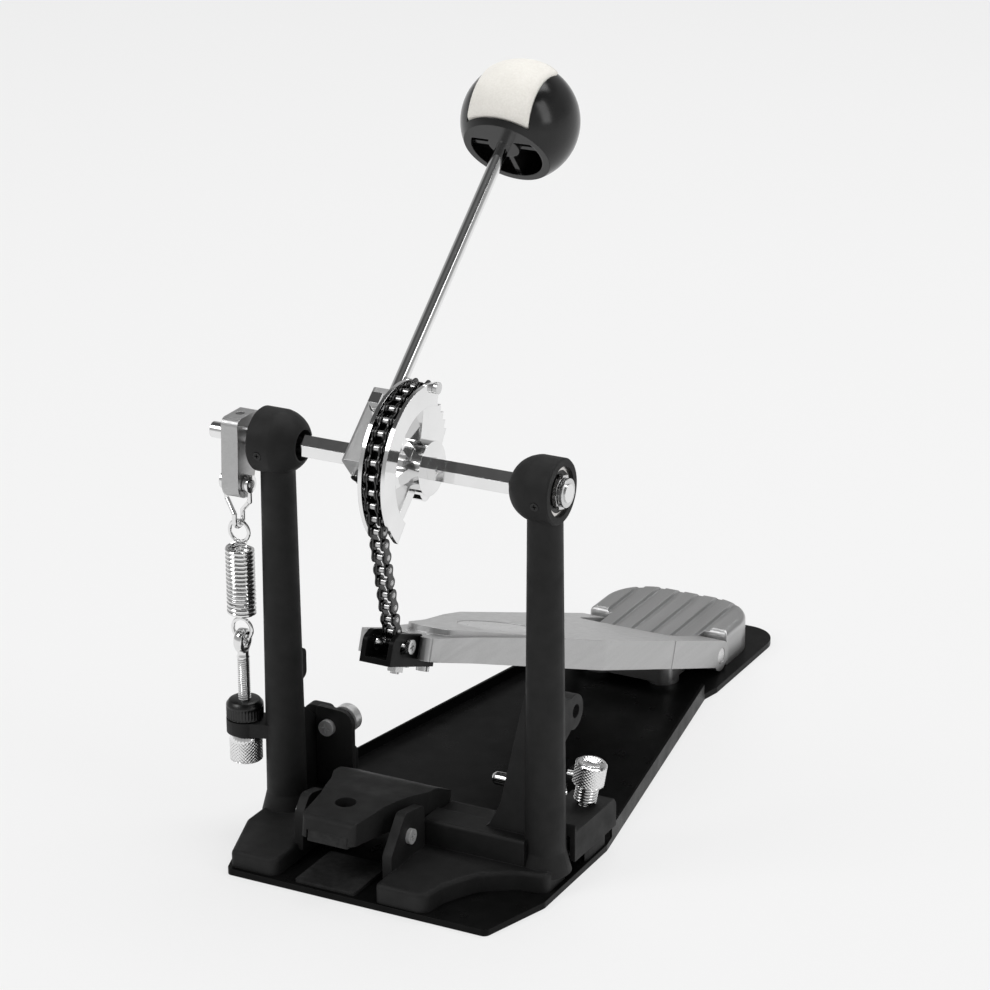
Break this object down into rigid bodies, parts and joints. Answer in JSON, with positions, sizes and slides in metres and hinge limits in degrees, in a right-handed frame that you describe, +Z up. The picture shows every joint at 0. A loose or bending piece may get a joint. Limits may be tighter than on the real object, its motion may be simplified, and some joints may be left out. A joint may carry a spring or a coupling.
{
  "type": "bass drum pedal",
  "caption": "single bass drum pedal: a hinged footboard pulls a chain over a cam on a hexagonal axle between two uprights and swings a felt-faced beater at the drum",
  "frame": {"origin": "on the underside of the base plate, which is the floor, straight below the middle of the axle and midway between the uprights", "axes": "+X to the right seen from the drum side, +Y from the drum toward the player's heel, +Z up"},
  "size_m": [0.1753, 0.355, 0.3312],
  "materials": {
    "black_steel": "semi-gloss black powder coat on sheet steel",
    "black_casting": "fine-textured matt black powder coat",
    "cast_aluminium": "brushed and tumbled cast aluminium",
    "chrome": "bright chrome plate",
    "zinc_steel": "bright zinc-plated steel",
    "bearing_steel": "ground bearing steel",
    "chain_steel": "blackened chain with bright pins",
    "black_oxide": "black oxide steel",
    "gloss_black": "gloss black moulded plastic",
    "felt": "pressed off-white wool felt",
    "rubber": "black rubber",
    "badge": "satin grey plate, left blank"
  },
  "bodies": {
    "frame": {"base_plate": "black_steel", "foot_screws": "zinc_steel", "heel_screws": "zinc_steel", "hoop_pad_lower": "rubber", "right_upright": "black_casting", "left_upright": "black_casting", "bearing_grub_screws": "black_oxide", "side_plate": "black_steel", "side_plate_screw": "chrome", "clamp_side_screws": "zinc_steel", "eye_bolt": "chrome", "bearing_outer_rings": "bearing_steel", "bearing_shields": "black_oxide", "bearing_balls": "bearing_steel", "heel_plate": "cast_aluminium", "hinge_pin": "zinc_steel", "clamp_spring": "chrome"},
    "board": {"footboard": "cast_aluminium", "badge_plate": "badge", "toe_bracket": "black_steel", "toe_bracket_screws": "zinc_steel"},
    "axle": {"axle": "chrome", "axle_clip": "zinc_steel", "cam": "chrome", "cam_grub_screw": "black_oxide", "cam_lining": "rubber", "chain_on_cam": "chain_steel", "chain_anchor_screw": "zinc_steel", "beater_hub": "cast_aluminium", "beater_key_screw": "chrome", "hub_grub_screw": "black_oxide", "spring_lever": "cast_aluminium", "lever_set_screw": "chrome", "bearing_inner_rings": "bearing_steel", "stirrup_pin": "zinc_steel"},
    "beater_rod": {"beater_rod": "chrome"},
    "beater_head": {"beater_shell": "gloss_black", "beater_felt": "felt"},
    "chain_run_a": {"chain_link_1": "chain_steel", "chain_link_2": "chain_steel", "chain_link_3": "chain_steel"},
    "chain_run_b": {"chain_link_4": "chain_steel", "chain_link_5": "chain_steel", "chain_link_6": "chain_steel"},
    "chain_strand": {"chain_strand": "chain_steel", "toe_bolt": "zinc_steel", "toe_bolt_nut": "zinc_steel"},
    "stirrup": {"stirrup": "chrome"},
    "lock_nut": {"spring_lock_nut": "black_oxide"},
    "tension_nut": {"spring_tension_nut": "chrome"},
    "spring_low": {"spring_hook_lower": "chrome"},
    "spring_high": {"spring_hook_upper": "chrome", "spring_coil": "chrome"},
    "jaw": {"clamp_jaw": "black_casting", "clamp_jaw_pad": "rubber", "clamp_shaft": "zinc_steel", "clamp_crank": "black_casting"},
    "clamp_screw": {"clamp_screw": "chrome"},
    "clamp_nut": {"clamp_nut": "zinc_steel"},
    "drum_key": {"drum_key": "chrome"}
  },
  "joints": [
    {"name": "axle_turn", "type": "hinge", "parent": "frame", "child": "axle", "pos_m": [0, 0, 0.1855], "axis": [1, 0, 0], "range_deg": [0, 50], "stiffness_Nm_per_rad": 0.45, "springref_deg": -20.05},
    {"name": "footboard_press", "type": "hinge", "parent": "frame", "child": "board", "pos_m": [0.002, 0.24, 0.0115], "axis": [1, 0, 0], "range_deg": [0, 6.83]},
    {"name": "chain_run_a_bend", "type": "hinge", "parent": "axle", "child": "chain_run_a", "pos_m": [0.002, -0.02154, 0.21245], "axis": [1, 0, 0], "range_deg": [-11.63, 0]},
    {"name": "chain_run_b_bend", "type": "hinge", "parent": "chain_run_a", "child": "chain_run_b", "pos_m": [0.002, -0.03248, 0.19712], "axis": [1, 0, 0], "range_deg": [-31.7, 0]},
    {"name": "strand_bend", "type": "hinge", "parent": "chain_run_b", "child": "chain_strand", "pos_m": [0.002, -0.03375, 0.17833], "axis": [1, 0, 0], "range_deg": [-15.86, 0]},
    {"name": "beater_height", "type": "slide", "parent": "axle", "child": "beater_rod", "axis": [0, 0.766, 0.6428], "range_m": [-0.03, 0.004]},
    {"name": "beater_head_turn", "type": "hinge", "parent": "beater_rod", "child": "beater_head", "pos_m": [-0.015, 0.13034, 0.30662], "axis": [0, 0.766, 0.6428], "range_deg": [0, 180]},
    {"name": "stirrup_swing", "type": "hinge", "parent": "axle", "child": "stirrup", "pos_m": [-0.084, -0.004, 0.1645], "axis": [1, 0, 0], "range_deg": [-62.5, 0]},
    {"name": "tension_nut_turn", "type": "hinge", "parent": "frame", "child": "tension_nut", "pos_m": [-0.084, -0.004, 0.038], "axis": [0, 0, 1], "range_deg": [0, 1440]},
    {"name": "lock_nut_turn", "type": "hinge", "parent": "frame", "child": "lock_nut", "pos_m": [-0.084, -0.004, 0.056], "axis": [0, 0, 1], "range_deg": [-360, 360]},
    {"name": "spring_swing", "type": "hinge", "parent": "frame", "child": "spring_low", "pos_m": [-0.084, -0.004, 0.0892], "axis": [1, 0, 0], "range_deg": [-12.5, 0]},
    {"name": "spring_stretch", "type": "slide", "parent": "spring_low", "child": "spring_high", "axis": [0, 0, 1], "range_m": [0, 0.0064], "deforming": ["spring_coil"]},
    {"name": "jaw_tilt", "type": "hinge", "parent": "frame", "child": "jaw", "pos_m": [-0.0154, 0.012, 0.016], "axis": [-1, 0, 0], "range_deg": [-9, 1]},
    {"name": "clamp_screw_turn", "type": "hinge", "parent": "frame", "child": "clamp_screw", "pos_m": [0.0665, 0.036, 0.024], "axis": [0.1736, 0, 0.9848], "range_deg": [-1150, 150]},
    {"name": "clamp_nut_slide", "type": "slide", "parent": "frame", "child": "clamp_nut", "axis": [-0.1736, 0, -0.9848], "range_m": [-0.0041, 0.0006]},
    {"name": "drum_key_pull", "type": "slide", "parent": "frame", "child": "drum_key", "axis": [1, 0, 0], "range_m": [0, 0.06]}
  ],
  "couplings": [
    {"joint": "footboard_press", "follows": "axle_turn", "ratio": 0.13647},
    {"joint": "chain_run_a_bend", "follows": "axle_turn", "ratio": -0.2322},
    {"joint": "chain_run_b_bend", "follows": "axle_turn", "ratio": -0.63364},
    {"joint": "strand_bend", "follows": "axle_turn", "ratio": -0.31682},
    {"joint": "stirrup_swing", "follows": "axle_turn", "ratio": -1.249},
    {"joint": "spring_swing", "follows": "axle_turn", "ratio": -0.249},
    {"joint": "spring_stretch", "follows": "axle_turn", "m_per_rad": 0.00722},
    {"joint": "clamp_nut_slide", "follows": "jaw_tilt", "m_per_rad": 0.024573},
    {"joint": "clamp_screw_turn", "follows": "jaw_tilt", "ratio": 123.52}
  ]
}
